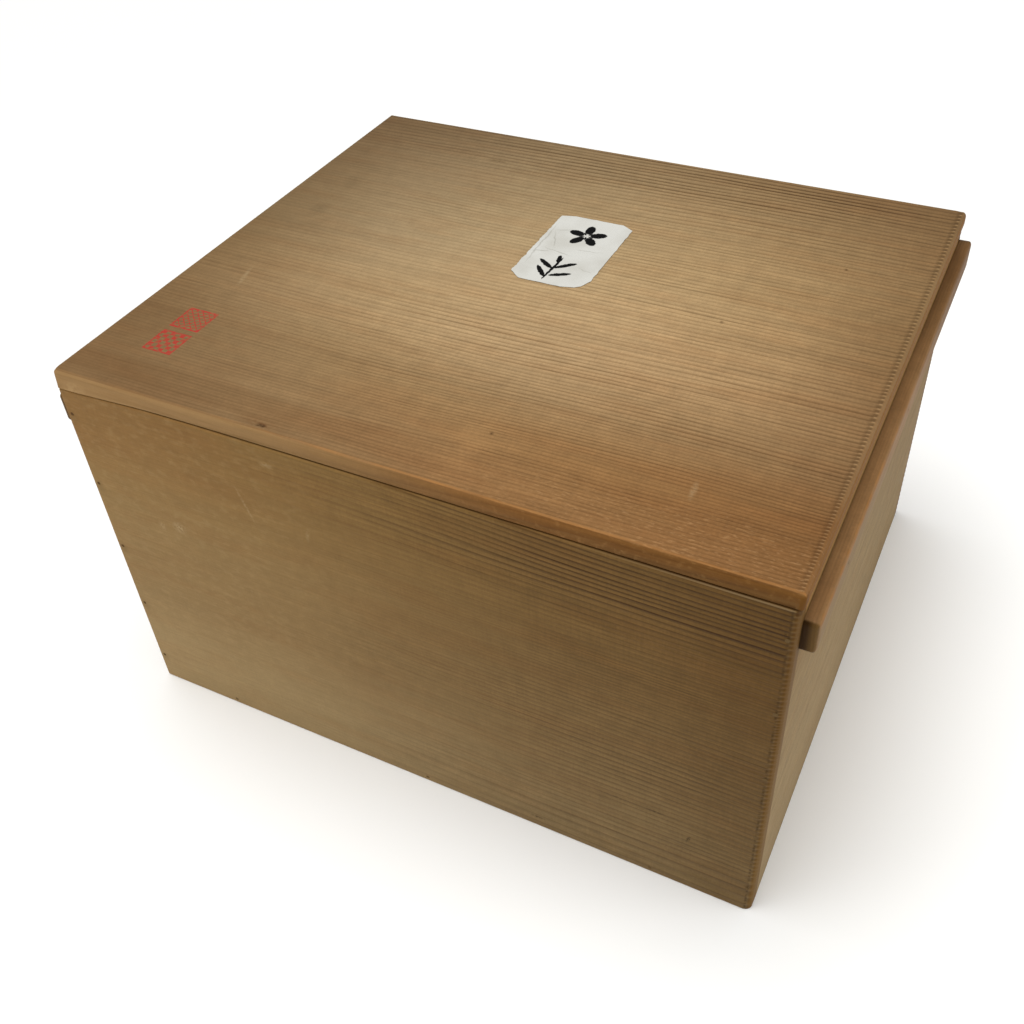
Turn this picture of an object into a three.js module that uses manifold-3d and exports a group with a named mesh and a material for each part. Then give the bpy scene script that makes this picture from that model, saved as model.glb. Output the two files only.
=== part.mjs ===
// A cedar storage box for dolls: a box of butted and pegged boards, with a handle batten
// on each side and a flat lid that lifts off.
// Sizes are in millimetres. X runs from left to right along the front, Y from the front to
// the back, and Z up. The origin is the middle of the underside.

import * as THREE from 'three';
import { mergeVertices } from 'three/addons/utils/BufferGeometryUtils.js';
import Module from 'manifold-3d';

const wasm = await Module();
wasm.setup();

// The box without its lid and handles
const BOX_WIDTH = 485;
const BOX_DEPTH = 424.5;
const BODY_HEIGHT = 287.5;
const END_THICKNESS = 12; // front and back boards
const SIDE_THICKNESS = 9;
const BOTTOM_THICKNESS = 9;
const JOINT_GAP = 0.1; // hairline between two glued faces

// Eased edges
const CORNER_RADIUS = 3.5; // upright outer edges of the front and back boards
const RIM_RADIUS = 1.5;
const INNER_RIM_RADIUS = 0.6;
const BASE_RADIUS = 1;
const ARC_STEPS = 4;

// The lid is one flat board on the rim. It has shrunk across its grain, so it stands a little
// back from the front and back boards and still passes the sides.
const LID_THICKNESS = 9.5;
const LID_LEFT_OVERHANG = 2.5;
const LID_RIGHT_OVERHANG = 1;
const LID_FRONT_INSET = 2.5;
const LID_BACK_INSET = 5;
const LID_SEAT_GAP = 0.3;
const LID_CORNER_RADIUS = 3;
const LID_TOP_RADIUS = 3.5;
const LID_LOWER_RADIUS = 0.8;

// Two battens across its underside drop in beside the side boards
const LID_BATTEN_WIDTH = 24;
const LID_BATTEN_HEIGHT = 10;
const LID_BATTEN_CLEARANCE = 2;
const LID_BATTEN_RADIUS = 2;

// The paper label on the lid
const LABEL_WIDTH = 58;
const LABEL_LENGTH = 94;
const LABEL_CLIP = 7;
const LABEL_THICKNESS = 0.3;
const LABEL_RIGHT_SHIFT = 1.6; // pasted by eye, just off the lid's middle
const LABEL_BACK_SHIFT = 51;

// Handle battens outside the side boards, planted by hand, so each sits a little off centre
const HANDLE_DEPTH = 9;
const HANDLE_HEIGHT = 24;
const HANDLE_DROP = 12; // from the rim to the batten's top
const HANDLE_END_INSET = 6.5;
const LEFT_HANDLE_SHIFT = -2;
const RIGHT_HANDLE_SHIFT = 2.5;
const HANDLE_TOP_RADIUS = 3;
const HANDLE_LOWER_RADIUS = 3.5;
const HANDLE_END_RADIUS = 2;
const HANDLE_END_TOP_RADIUS = 2.5;
const HANDLE_END_LOWER_RADIUS = 1;

// Tapered wooden pegs, driven flush
const PEG_HEAD_RADIUS = 1.4;
const PEG_TIP_RADIUS = 0.9;
const PEG_SIDES = 8;
const PEG_CLEARANCE = 0.3;
const PEG_BITE = 24; // length in the second board's edge
const HOLE_LEAD = 1; // the drill starts this far outside the wood
const CORNER_PEGS = 5;
const CORNER_PEG_TOP = 22; // from the rim to the highest peg
const CORNER_PEG_BOTTOM = 26;
const BOTTOM_PEGS = 3; // along each wall
const BOTTOM_PEG_INSET = 70;
const HANDLE_PEGS = 3;
const HANDLE_PEG_INSET = 60;
const HANDLE_PEG_COVER = 2; // wood left between its tip and the inside of the box
const LID_PEGS = 3;
const LID_PEG_INSET = 40;
const LID_PEG_COVER = 3; // wood left between its tip and the lid's top

// Sizes that follow from those above
const INNER_WIDTH = BOX_WIDTH - 2 * SIDE_THICKNESS;
const INNER_DEPTH = BOX_DEPTH - 2 * END_THICKNESS;
const SIDE_MIDDLE = (BOX_WIDTH - SIDE_THICKNESS) / 2;
const BOTTOM_MIDDLE = BOTTOM_THICKNESS / 2;
const LID_WIDTH = BOX_WIDTH + LID_LEFT_OVERHANG + LID_RIGHT_OVERHANG;
const LID_DEPTH = BOX_DEPTH - LID_FRONT_INSET - LID_BACK_INSET;
const LID_MIDDLE_X = (LID_RIGHT_OVERHANG - LID_LEFT_OVERHANG) / 2;
const LID_MIDDLE_Y = (LID_FRONT_INSET - LID_BACK_INSET) / 2;
const LID_BATTEN_LENGTH = INNER_DEPTH - 2 * LID_BATTEN_CLEARANCE;
const LID_BATTEN_MIDDLE = (INNER_WIDTH - LID_BATTEN_WIDTH) / 2 - LID_BATTEN_CLEARANCE;
const LID_BATTEN_FOOT = -JOINT_GAP - LID_BATTEN_HEIGHT; // below the lid's underside
const HANDLE_LENGTH = BOX_DEPTH - 2 * HANDLE_END_INSET;
const HANDLE_MIDDLE = BODY_HEIGHT - HANDLE_DROP - HANDLE_HEIGHT / 2;
const HANDLE_FACE = BOX_WIDTH / 2 + JOINT_GAP + HANDLE_DEPTH;

const WOOD = {
  ends: { color: 0x8a6d48, roughness: 0.72, metalness: 0 },
  sides: { color: 0x937b59, roughness: 0.76, metalness: 0 },
  inside: { color: 0xa98a5e, roughness: 0.8, metalness: 0 },
  lid: { color: 0x8d7048, roughness: 0.68, metalness: 0 },
  handle: { color: 0x6a4b2a, roughness: 0.7, metalness: 0 },
  peg: { color: 0x4a3521, roughness: 0.8, metalness: 0 },
};
const PAPER = { color: 0xcecbc4, roughness: 0.9, metalness: 0 };

// Where a section's right and up directions point, and the way it is drawn out
const X_AXIS = new THREE.Vector3(1, 0, 0);
const Y_AXIS = new THREE.Vector3(0, 1, 0);
const Z_AXIS = new THREE.Vector3(0, 0, 1);
const SEEN_FROM_ABOVE = new THREE.Matrix4();
const SEEN_FROM_FRONT = new THREE.Matrix4().makeBasis(X_AXIS, Z_AXIS, Y_AXIS.clone().negate());
const SEEN_FROM_RIGHT = new THREE.Matrix4().makeBasis(Y_AXIS, Z_AXIS, X_AXIS);

function toSolid(geometry) {
  const bare = geometry.clone();
  bare.deleteAttribute('normal');
  bare.deleteAttribute('uv');
  const merged = mergeVertices(bare);
  return new wasm.Manifold(
    new wasm.Mesh({
      numProp: 3,
      vertProperties: new Float32Array(merged.attributes.position.array),
      triVerts: new Uint32Array(merged.index.array),
    })
  );
}

function toGeometry(solid) {
  const { vertProperties, triVerts } = solid.getMesh();
  const indexed = new THREE.BufferGeometry();
  indexed.setAttribute('position', new THREE.BufferAttribute(vertProperties, 3));
  indexed.setIndex(new THREE.BufferAttribute(triVerts, 1));
  const flat = indexed.toNonIndexed();
  flat.computeVertexNormals();
  return flat;
}

// One corner of a rectangle, as an arc that turns a quarter, or as a point where it is sharp
function cornerPoints(x, y, radius, startAngle) {
  if (radius === 0) return [new THREE.Vector2(x, y)];
  const centre = new THREE.Vector2(x - Math.sign(x) * radius, y - Math.sign(y) * radius);
  return Array.from({ length: ARC_STEPS + 1 }, (_, step) => {
    const angle = startAngle + (step / ARC_STEPS) * (Math.PI / 2);
    return new THREE.Vector2(Math.cos(angle), Math.sin(angle)).multiplyScalar(radius).add(centre);
  });
}

// A rectangle whose corners are eased: lower left, lower right, upper right, upper left.
// Where two radii would meet, half of the shorter side limits them.
function easedRectangle(width, height, radii) {
  const most = 0.49 * Math.min(width, height);
  const [lowLeft, lowRight, highRight, highLeft] = radii.map((radius) => Math.min(radius, most));
  return new THREE.Shape([
    ...cornerPoints(-width / 2, -height / 2, lowLeft, Math.PI),
    ...cornerPoints(width / 2, -height / 2, lowRight, Math.PI * 1.5),
    ...cornerPoints(width / 2, height / 2, highRight, 0),
    ...cornerPoints(-width / 2, height / 2, highLeft, Math.PI / 2),
  ]);
}

// The radii of a section whose outer side is on its left (facing -1) or on its right (+1)
function facing(outward, { outerLow = 0, innerLow = 0, innerHigh = 0, outerHigh = 0 }) {
  if (outward < 0) return [outerLow, innerLow, innerHigh, outerHigh];
  return [innerLow, outerLow, outerHigh, innerHigh];
}

function prism(shape, length, view) {
  const geometry = new THREE.ExtrudeGeometry(shape, { depth: length, bevelEnabled: false });
  geometry.translate(0, 0, -length / 2);
  return toSolid(geometry.applyMatrix4(view));
}

// A board about its own middle: what its three eased outlines have in common
function easedBoard({ width, depth, height, plan, front, side }) {
  const outlines = [];
  if (plan) outlines.push(prism(easedRectangle(width, depth, plan), height, SEEN_FROM_ABOVE));
  if (front) outlines.push(prism(easedRectangle(width, height, front), depth, SEEN_FROM_FRONT));
  if (side) outlines.push(prism(easedRectangle(depth, height, side), width, SEEN_FROM_RIGHT));
  return outlines.reduce((solid, outline) => solid.intersect(outline));
}

// Evenly spaced places from first to last
function spread(count, first, last) {
  if (count === 1) return [(first + last) / 2];
  return Array.from({ length: count }, (_, i) => first + ((last - first) * i) / (count - 1));
}

// A peg, or its hole, which points along +Y from a head at the origin
function pegGeometry(length, clearance, lead) {
  const geometry = new THREE.CylinderGeometry(
    PEG_TIP_RADIUS + clearance,
    PEG_HEAD_RADIUS + clearance,
    length + clearance + lead,
    PEG_SIDES
  );
  return geometry.translate(0, (length + clearance - lead) / 2, 0);
}

function pegFrame({ head, into }) {
  const turn = new THREE.Quaternion().setFromUnitVectors(Y_AXIS, into);
  return new THREE.Matrix4().compose(head, turn, new THREE.Vector3(1, 1, 1));
}

function pegHole(peg, boardCentre) {
  const geometry = pegGeometry(peg.length, PEG_CLEARANCE, HOLE_LEAD);
  geometry.applyMatrix4(pegFrame(peg));
  geometry.translate(-boardCentre.x, -boardCentre.y, -boardCentre.z);
  return toSolid(geometry);
}

function pegRow(name, heads, into, length) {
  return heads.map((head, i) => ({ name: `${name}_${i + 1}`, head, into, length }));
}

function addPegs(group, pegs) {
  for (const peg of pegs) {
    const geometry = pegGeometry(peg.length, 0, 0);
    const mesh = new THREE.Mesh(geometry, new THREE.MeshStandardMaterial(WOOD.peg));
    mesh.name = peg.name;
    mesh.applyMatrix4(pegFrame(peg));
    group.add(mesh);
  }
}

// A board, drilled for whichever pegs of its assembly pass through it
function addBoard(group, name, finish, centre, shape, pegs) {
  const holes = pegs.map((peg) => pegHole(peg, centre));
  const solid = holes.reduce((wood, hole) => wood.subtract(hole), easedBoard(shape));
  const mesh = new THREE.Mesh(toGeometry(solid), new THREE.MeshStandardMaterial(finish));
  mesh.name = name;
  mesh.position.copy(centre);
  group.add(mesh);
}

// The front or back board, which covers the ends of the side boards
function addEndWall(group, name, outward, pegs) {
  const centre = new THREE.Vector3(0, (outward * (BOX_DEPTH - END_THICKNESS)) / 2, BODY_HEIGHT / 2);
  const upright = CORNER_RADIUS;
  const shape = {
    width: BOX_WIDTH,
    depth: END_THICKNESS,
    height: BODY_HEIGHT,
    plan: outward < 0 ? [upright, upright, 0, 0] : [0, 0, upright, upright],
    side: facing(outward, {
      outerLow: BASE_RADIUS,
      innerHigh: INNER_RIM_RADIUS,
      outerHigh: RIM_RADIUS,
    }),
  };
  addBoard(group, name, WOOD.ends, centre, shape, pegs);
}

// A side board, butted between the front and back boards
function addSideWall(group, name, outward, pegs) {
  const centre = new THREE.Vector3(outward * SIDE_MIDDLE, 0, BODY_HEIGHT / 2);
  const shape = {
    width: SIDE_THICKNESS,
    depth: INNER_DEPTH - 2 * JOINT_GAP,
    height: BODY_HEIGHT,
    front: facing(outward, {
      outerLow: BASE_RADIUS,
      innerHigh: INNER_RIM_RADIUS,
      outerHigh: RIM_RADIUS,
    }),
  };
  addBoard(group, name, WOOD.sides, centre, shape, pegs);
}

// The bottom is let in between the four walls, flush with their lower edges
function addBottom(group, pegs) {
  const centre = new THREE.Vector3(0, 0, BOTTOM_MIDDLE);
  const shape = {
    width: INNER_WIDTH - 2 * JOINT_GAP,
    depth: INNER_DEPTH - 2 * JOINT_GAP,
    height: BOTTOM_THICKNESS,
    plan: [0, 0, 0, 0],
  };
  addBoard(group, 'bottom_board', WOOD.inside, centre, shape, pegs);
}

function handleCentre(outward, shift) {
  return new THREE.Vector3(outward * (HANDLE_FACE - HANDLE_DEPTH / 2), shift, HANDLE_MIDDLE);
}

// A handle batten, worn round where the hands take it
function addHandle(group, name, outward, shift, pegs) {
  const shape = {
    width: HANDLE_DEPTH,
    depth: HANDLE_LENGTH,
    height: HANDLE_HEIGHT,
    plan: facing(outward, { outerLow: HANDLE_END_RADIUS, outerHigh: HANDLE_END_RADIUS }),
    front: facing(outward, { outerLow: HANDLE_LOWER_RADIUS, outerHigh: HANDLE_TOP_RADIUS }),
    side: [
      HANDLE_END_LOWER_RADIUS,
      HANDLE_END_LOWER_RADIUS,
      HANDLE_END_TOP_RADIUS,
      HANDLE_END_TOP_RADIUS,
    ],
  };
  addBoard(group, name, WOOD.handle, handleCentre(outward, shift), shape, pegs);
}

function addLidBoard(group, pegs) {
  const centre = new THREE.Vector3(LID_MIDDLE_X, LID_MIDDLE_Y, LID_THICKNESS / 2);
  const section = [LID_LOWER_RADIUS, LID_LOWER_RADIUS, LID_TOP_RADIUS, LID_TOP_RADIUS];
  const shape = {
    width: LID_WIDTH,
    depth: LID_DEPTH,
    height: LID_THICKNESS,
    plan: [LID_CORNER_RADIUS, LID_CORNER_RADIUS, LID_CORNER_RADIUS, LID_CORNER_RADIUS],
    front: section,
    side: section,
  };
  addBoard(group, 'lid_board', WOOD.lid, centre, shape, pegs);
}

// A batten under the lid, rounded below so that it finds its way into the box
function addLidBatten(group, name, outward, pegs) {
  const middle = LID_BATTEN_FOOT + LID_BATTEN_HEIGHT / 2;
  const centre = new THREE.Vector3(outward * LID_BATTEN_MIDDLE, 0, middle);
  const section = [LID_BATTEN_RADIUS, LID_BATTEN_RADIUS, 0, 0];
  const shape = {
    width: LID_BATTEN_WIDTH,
    depth: LID_BATTEN_LENGTH,
    height: LID_BATTEN_HEIGHT,
    front: section,
    side: section,
  };
  addBoard(group, name, WOOD.inside, centre, shape, pegs);
}

// The label is a sheet with its corners cut off
function addLabel(group) {
  const x = LABEL_WIDTH / 2;
  const y = LABEL_LENGTH / 2;
  const outline = new THREE.Shape([
    new THREE.Vector2(LABEL_CLIP - x, -y),
    new THREE.Vector2(x - LABEL_CLIP, -y),
    new THREE.Vector2(x, LABEL_CLIP - y),
    new THREE.Vector2(x, y - LABEL_CLIP),
    new THREE.Vector2(x - LABEL_CLIP, y),
    new THREE.Vector2(LABEL_CLIP - x, y),
    new THREE.Vector2(-x, y - LABEL_CLIP),
    new THREE.Vector2(-x, LABEL_CLIP - y),
  ]);
  const geometry = new THREE.ExtrudeGeometry(outline, { depth: LABEL_THICKNESS, bevelEnabled: false });
  const mesh = new THREE.Mesh(geometry, new THREE.MeshStandardMaterial(PAPER));
  mesh.name = 'paper_label';
  mesh.position.set(
    LID_MIDDLE_X + LABEL_RIGHT_SHIFT,
    LID_MIDDLE_Y + LABEL_BACK_SHIFT,
    LID_THICKNESS + JOINT_GAP
  );
  group.add(mesh);
}

// Pegs through the front or back board into the end of a side board
function cornerPegs(name, endSide, flank) {
  const heights = spread(CORNER_PEGS, BODY_HEIGHT - CORNER_PEG_TOP, CORNER_PEG_BOTTOM);
  const heads = heights.map(
    (z) => new THREE.Vector3(flank * SIDE_MIDDLE, (endSide * BOX_DEPTH) / 2, z)
  );
  return pegRow(name, heads, new THREE.Vector3(0, -endSide, 0), END_THICKNESS + PEG_BITE);
}

// Pegs through the front or back board into the bottom's edge
function endBottomPegs(name, endSide) {
  const reach = BOX_WIDTH / 2 - BOTTOM_PEG_INSET;
  const heads = spread(BOTTOM_PEGS, -reach, reach).map(
    (x) => new THREE.Vector3(x, (endSide * BOX_DEPTH) / 2, BOTTOM_MIDDLE)
  );
  return pegRow(name, heads, new THREE.Vector3(0, -endSide, 0), END_THICKNESS + PEG_BITE);
}

// Pegs through a side board into the bottom's edge
function sideBottomPegs(name, flank) {
  const reach = BOX_DEPTH / 2 - BOTTOM_PEG_INSET;
  const heads = spread(BOTTOM_PEGS, -reach, reach).map(
    (y) => new THREE.Vector3((flank * BOX_WIDTH) / 2, y, BOTTOM_MIDDLE)
  );
  return pegRow(name, heads, new THREE.Vector3(-flank, 0, 0), SIDE_THICKNESS + PEG_BITE);
}

// Pegs through a handle batten, which stop inside the side board
function handlePegs(name, flank, shift) {
  const reach = HANDLE_LENGTH / 2 - HANDLE_PEG_INSET;
  const heads = spread(HANDLE_PEGS, shift - reach, shift + reach).map(
    (y) => new THREE.Vector3(flank * HANDLE_FACE, y, HANDLE_MIDDLE)
  );
  const length = HANDLE_FACE - BOX_WIDTH / 2 + SIDE_THICKNESS - HANDLE_PEG_COVER;
  return pegRow(name, heads, new THREE.Vector3(-flank, 0, 0), length);
}

// Pegs driven up through a batten of the lid, which stop short of the lid's top
function lidPegs(name, flank) {
  const reach = LID_BATTEN_LENGTH / 2 - LID_PEG_INSET;
  const heads = spread(LID_PEGS, -reach, reach).map(
    (y) => new THREE.Vector3(flank * LID_BATTEN_MIDDLE, y, LID_BATTEN_FOOT)
  );
  return pegRow(name, heads, Z_AXIS, LID_THICKNESS - LID_BATTEN_FOOT - LID_PEG_COVER);
}

function boxBody() {
  const pegs = [
    ...cornerPegs('front_left_peg', -1, -1),
    ...cornerPegs('front_right_peg', -1, 1),
    ...cornerPegs('back_left_peg', 1, -1),
    ...cornerPegs('back_right_peg', 1, 1),
    ...endBottomPegs('front_bottom_peg', -1),
    ...endBottomPegs('back_bottom_peg', 1),
    ...sideBottomPegs('left_bottom_peg', -1),
    ...sideBottomPegs('right_bottom_peg', 1),
    ...handlePegs('left_handle_peg', -1, LEFT_HANDLE_SHIFT),
    ...handlePegs('right_handle_peg', 1, RIGHT_HANDLE_SHIFT),
  ];
  const group = new THREE.Group();
  addEndWall(group, 'front_board', -1, pegs);
  addEndWall(group, 'back_board', 1, pegs);
  addSideWall(group, 'left_side_board', -1, pegs);
  addSideWall(group, 'right_side_board', 1, pegs);
  addBottom(group, pegs);
  addHandle(group, 'left_handle_batten', -1, LEFT_HANDLE_SHIFT, pegs);
  addHandle(group, 'right_handle_batten', 1, RIGHT_HANDLE_SHIFT, pegs);
  addPegs(group, pegs);
  return group;
}

// The lid in its own frame, whose zero height is the underside of its board
function lid() {
  const pegs = [...lidPegs('lid_left_peg', -1), ...lidPegs('lid_right_peg', 1)];
  const group = new THREE.Group();
  addLidBoard(group, pegs);
  addLidBatten(group, 'lid_left_batten', -1, pegs);
  addLidBatten(group, 'lid_right_batten', 1, pegs);
  addLabel(group);
  addPegs(group, pegs);
  group.position.z = BODY_HEIGHT + LID_SEAT_GAP;
  return group;
}

const dollStorageBox = new THREE.Group();
dollStorageBox.add(boxBody(), lid());

export default dollStorageBox;
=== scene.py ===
import math

import bmesh
import bpy
from mathutils import Matrix, Vector, noise


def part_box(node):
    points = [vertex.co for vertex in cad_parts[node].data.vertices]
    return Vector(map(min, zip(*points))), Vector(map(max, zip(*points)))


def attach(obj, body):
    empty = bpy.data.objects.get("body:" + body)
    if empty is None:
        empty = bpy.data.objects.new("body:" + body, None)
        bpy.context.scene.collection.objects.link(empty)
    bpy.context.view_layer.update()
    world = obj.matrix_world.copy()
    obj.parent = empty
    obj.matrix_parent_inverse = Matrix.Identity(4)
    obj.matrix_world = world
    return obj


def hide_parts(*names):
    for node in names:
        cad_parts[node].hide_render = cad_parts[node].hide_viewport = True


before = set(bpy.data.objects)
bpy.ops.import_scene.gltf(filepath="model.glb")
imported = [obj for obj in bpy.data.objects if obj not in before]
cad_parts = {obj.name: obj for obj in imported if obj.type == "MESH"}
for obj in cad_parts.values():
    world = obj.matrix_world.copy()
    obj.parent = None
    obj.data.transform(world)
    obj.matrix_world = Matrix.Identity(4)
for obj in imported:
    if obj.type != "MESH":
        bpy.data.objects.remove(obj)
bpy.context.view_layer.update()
MM = 0.001

# Camera
# It stands where the photograph was taken: 0.7 m up, in front of the box and a little to its right.
EYE = Vector((303.9, -600.7, 704.5)) * MM
AIM = Vector((-20.7, -7.3, 110.8)) * MM
ROLL = math.radians(-3.46)
SENSOR = 36
FRAME_PIXELS = 1024
FOCAL_PIXELS = 1137
CENTRE_PIXEL = (520.9, 488.9)  # where the lens looks, in the frame

lens = bpy.data.cameras.new("camera")
lens.sensor_width = SENSOR
lens.lens = SENSOR * FOCAL_PIXELS / FRAME_PIXELS
lens.shift_x = 0.5 - CENTRE_PIXEL[0] / FRAME_PIXELS
lens.shift_y = CENTRE_PIXEL[1] / FRAME_PIXELS - 0.5
camera = bpy.data.objects.new("camera", lens)
turn = (AIM - EYE).to_track_quat("-Z", "Y").to_matrix() @ Matrix.Rotation(ROLL, 3, "Z")
camera.matrix_world = Matrix.Translation(EYE) @ turn.to_4x4()
bpy.context.scene.collection.objects.link(camera)
bpy.context.scene.camera = camera

# Front and back boards
# Japanese cedar sawn on the quarter, 12 mm thick, which covers the side boards' ends. The soft wood
# between the rings has worn down, most at the right end, so the rings' hard lines stand up.
X, Y, Z = 0, 1, 2
FRONT_LOW, FRONT_HIGH = (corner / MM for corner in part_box("front_board"))
LEFT_END, RIGHT_END, RIM = FRONT_LOW.x, FRONT_HIGH.x, FRONT_HIGH.z
FACE, INNER_FACE = FRONT_LOW.y, FRONT_HIGH.y
BACK_FACE, BACK_INNER = -FACE, -INNER_FACE
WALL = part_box("right_side_board")[0].x / MM  # from the middle to a side board's inner face
HALF_DEPTH = 212  # of the body, to the nearest millimetre
ROW = 0.6  # between the mesh rows across the grain
COLUMN = 16  # between those along it
END_COLUMNS = (1.2, 3, 5, 7, 12, 20)  # from each end of a board, where the relief runs out over its edge
ARC_SHARES = (1, 0.586)  # a quarter round is cut at these shares of its inset
SAME_PLACE = 1e-7  # metres
HARD_LINE = 0.87  # where a ring's hard line lies, as a share of the ring
HARD_WIDTH = 0.18
LEAN = 0.3  # how far the rings rise for each millimetre through a board
PLANED = "bb9c72"  # cedar that has never been out in the light
CORNER_DIP = 2.6  # wear of the rim and the lid at the front left corner

# Ring spacings from the foot up: each pair is a height and the spacing up to there
FRONT_RINGS = ((37, 8.5), (127, 4.7), (172, 4), (212, 3), (242, 4.4), (267, 5), (288, 3.8))
BACK_RINGS = ((60, 5.5), (150, 4.1), (230, 3.4), (288, 4.6))


def block(node):
    """A plain block in a CAD node's box, with the box's corners."""
    low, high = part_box(node)
    bm = bmesh.new()
    bmesh.ops.create_cube(bm, size=1)
    bmesh.ops.scale(bm, vec=high - low, verts=bm.verts)
    bmesh.ops.translate(bm, vec=(low + high) / 2, verts=bm.verts)
    return bm, low, high


def score(bm, axis, places):
    """Cuts lines round the block, square to an axis, at places along it."""
    for place in places:
        point, normal = Vector(), Vector()
        point[axis] = place
        normal[axis] = 1
        everything = bm.verts[:] + bm.edges[:] + bm.faces[:]
        bmesh.ops.bisect_plane(bm, geom=everything, plane_co=point, plane_no=normal, dist=SAME_PLACE)


def divide(bm, axis, step):
    """Divides the edges along an axis that are longer than a step into steps."""
    by_length = {}
    for edge in bm.edges:
        run = edge.verts[1].co - edge.verts[0].co
        if abs(run[axis]) > max(1.5 * step, 0.99 * run.length):
            by_length.setdefault(round(run.length, 6), []).append(edge)
    for length, edges in by_length.items():
        bmesh.ops.subdivide_edges(bm, edges=edges, cuts=round(length / step) - 1)


def ease(bm, low, high, low_inset, high_inset):
    """Rounds the block's edges: an inset is how far from a face the rounding starts."""
    for vert in bm.verts:
        shares = []
        for axis in (X, Y, Z):
            below = low[axis] + low_inset[axis] - vert.co[axis]
            above = vert.co[axis] - high[axis] + high_inset[axis]
            if below > SAME_PLACE:
                shares.append(-below / low_inset[axis])
            elif above > SAME_PLACE:
                shares.append(above / high_inset[axis])
            else:
                shares.append(0)
        size = math.hypot(*shares)
        if size == 0:
            continue
        pull = max(abs(share) for share in shares) / size
        for axis, share in enumerate(shares):
            if share < 0:
                vert.co[axis] = low[axis] + low_inset[axis] * (1 + share * pull)
            elif share > 0:
                vert.co[axis] = high[axis] - high_inset[axis] * (1 - share * pull)


def sawn_board(node, grain, rows, low_round, high_round):
    """A board in its CAD node's box, with eased edges. Rows gives the mesh spacing across the grain."""
    bm, low, high = block(node)
    low_inset = Vector(low_round) * MM
    high_inset = Vector(high_round) * MM
    for axis in (X, Y, Z):
        if low_inset[axis]:
            score(bm, axis, [low[axis] + low_inset[axis] * share for share in ARC_SHARES])
        if high_inset[axis]:
            score(bm, axis, [high[axis] - high_inset[axis] * share for share in ARC_SHARES])
    for distance in END_COLUMNS:
        score(bm, grain, [low[grain] + distance * MM, high[grain] - distance * MM])
    divide(bm, grain, COLUMN * MM)
    for axis, step in rows.items():
        divide(bm, axis, step * MM)
    ease(bm, low, high, low_inset, high_inset)
    return bm


def smooth(value, start, end):
    """Goes from 0 at start to 1 at end."""
    share = min(max((value - start) / (end - start), 0), 1)
    return share * share * (3 - 2 * share)


def hump(value, centre, width):
    """1 at the centre, fading out within about two widths."""
    return math.exp(-(((value - centre) / width) ** 2))


def ring_count(distance, spacings):
    """How many rings lie within a distance, for (reach, spacing) pairs."""
    count, start = 0, 0
    for reach, spacing in spacings:
        count += max(min(distance, reach) - start, 0) / spacing
        start = reach
    return count + max(distance - start, 0) / spacings[-1][1]


def wander(along, across, seed):
    """How far the rings stray from straight lines, in millimetres."""
    slow = noise.noise(Vector((along / 240, across / 130, seed)))
    quick = noise.noise(Vector((along / 90, across / 11, seed + 7)))
    return 5 * slow + 1.3 * quick


def weather(bm, across, rings, wear, show=lambda p: 1):
    """Sinks the soft wood between the hard lines by the wear. Notes each vertex's ring number, how well
    its ring shows, and how deep it has sunk in millimetres."""
    ring_layer = bm.verts.layers.float.new("ring")
    show_layer = bm.verts.layers.float.new("show")
    groove_layer = bm.verts.layers.float.new("groove")
    bm.normal_update()
    for vert in bm.verts:
        place = vert.co / MM
        number = rings(place)
        vert[ring_layer] = number
        vert[show_layer] = show(place)
        off_line = ((number % 1) - HARD_LINE + 0.5) % 1 - 0.5
        ridge = hump(off_line, 0, HARD_WIDTH)
        depth = wear(place) * (1 - vert.normal[across] ** 2) * (1 - ridge)
        vert[groove_layer] = depth
        vert.co -= vert.normal * (depth * MM)


def piece(bm, name, node, body, material):
    """Makes the mesh a piece of the object, which stands for a CAD node."""
    mesh = bpy.data.meshes.new(name)
    bm.to_mesh(mesh)
    bm.free()
    mesh.materials.append(material)
    mesh.shade_smooth()
    mesh.set_sharp_from_angle(angle=math.radians(50))
    made = bpy.data.objects.new(name, mesh)
    bpy.context.scene.collection.objects.link(made)
    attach(made, body)
    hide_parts(node)


def linear(shade):
    """An sRGB hex colour as the linear colour that a shader takes."""
    channels = [int(shade[i : i + 2], 16) / 255 for i in (0, 2, 4)]
    return (*(c / 12.92 if c <= 0.04045 else ((c + 0.055) / 1.055) ** 2.4 for c in channels), 1)


def add(tree, kind, settings, inputs, output=0):
    """Adds a node with its settings and its values or links, and gives back one of its outputs."""
    made = tree.nodes.new("ShaderNode" + kind)
    for name, value in settings.items():
        setattr(made, name, value)
    for name, value in inputs.items():
        if isinstance(value, bpy.types.NodeSocket):
            tree.links.new(value, made.inputs[name])
        else:
            made.inputs[name].default_value = value
    return made.outputs[output]


def meet(tree, place, *masks):
    """Where all the masks meet. A mask is a socket, a number, or an axis with the places on it, in
    millimetres, where it is 0 and 1."""
    product = None
    for mask in masks:
        if isinstance(mask, tuple):
            axis, start, end = mask
            value = add(tree, "SeparateXYZ", {}, {"Vector": place}, axis)
            limits = {"Value": value, "From Min": start * MM, "From Max": end * MM}
            mask = add(tree, "MapRange", {"interpolation_type": "SMOOTHSTEP"}, limits)
        if product is None:
            product = mask
        else:
            product = add(tree, "Math", {"operation": "MULTIPLY"}, {0: product, 1: mask})
    return product


def blot(tree, place, centre, size, turn=0, axis=Z):
    """A mask for a soft oval spot: 1 in its middle and 0 at its rim, turned about an axis by degrees."""
    spot = {"Vector": place, "Location": Vector(centre) * MM, "Scale": Vector(size) * MM}
    spot["Rotation"] = [math.radians(turn) if number == axis else 0 for number in (X, Y, Z)]
    inside = add(tree, "Mapping", {"vector_type": "TEXTURE"}, spot)
    return add(tree, "TexGradient", {"gradient_type": "SPHERICAL"}, {"Vector": inside}, "Fac")


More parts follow.
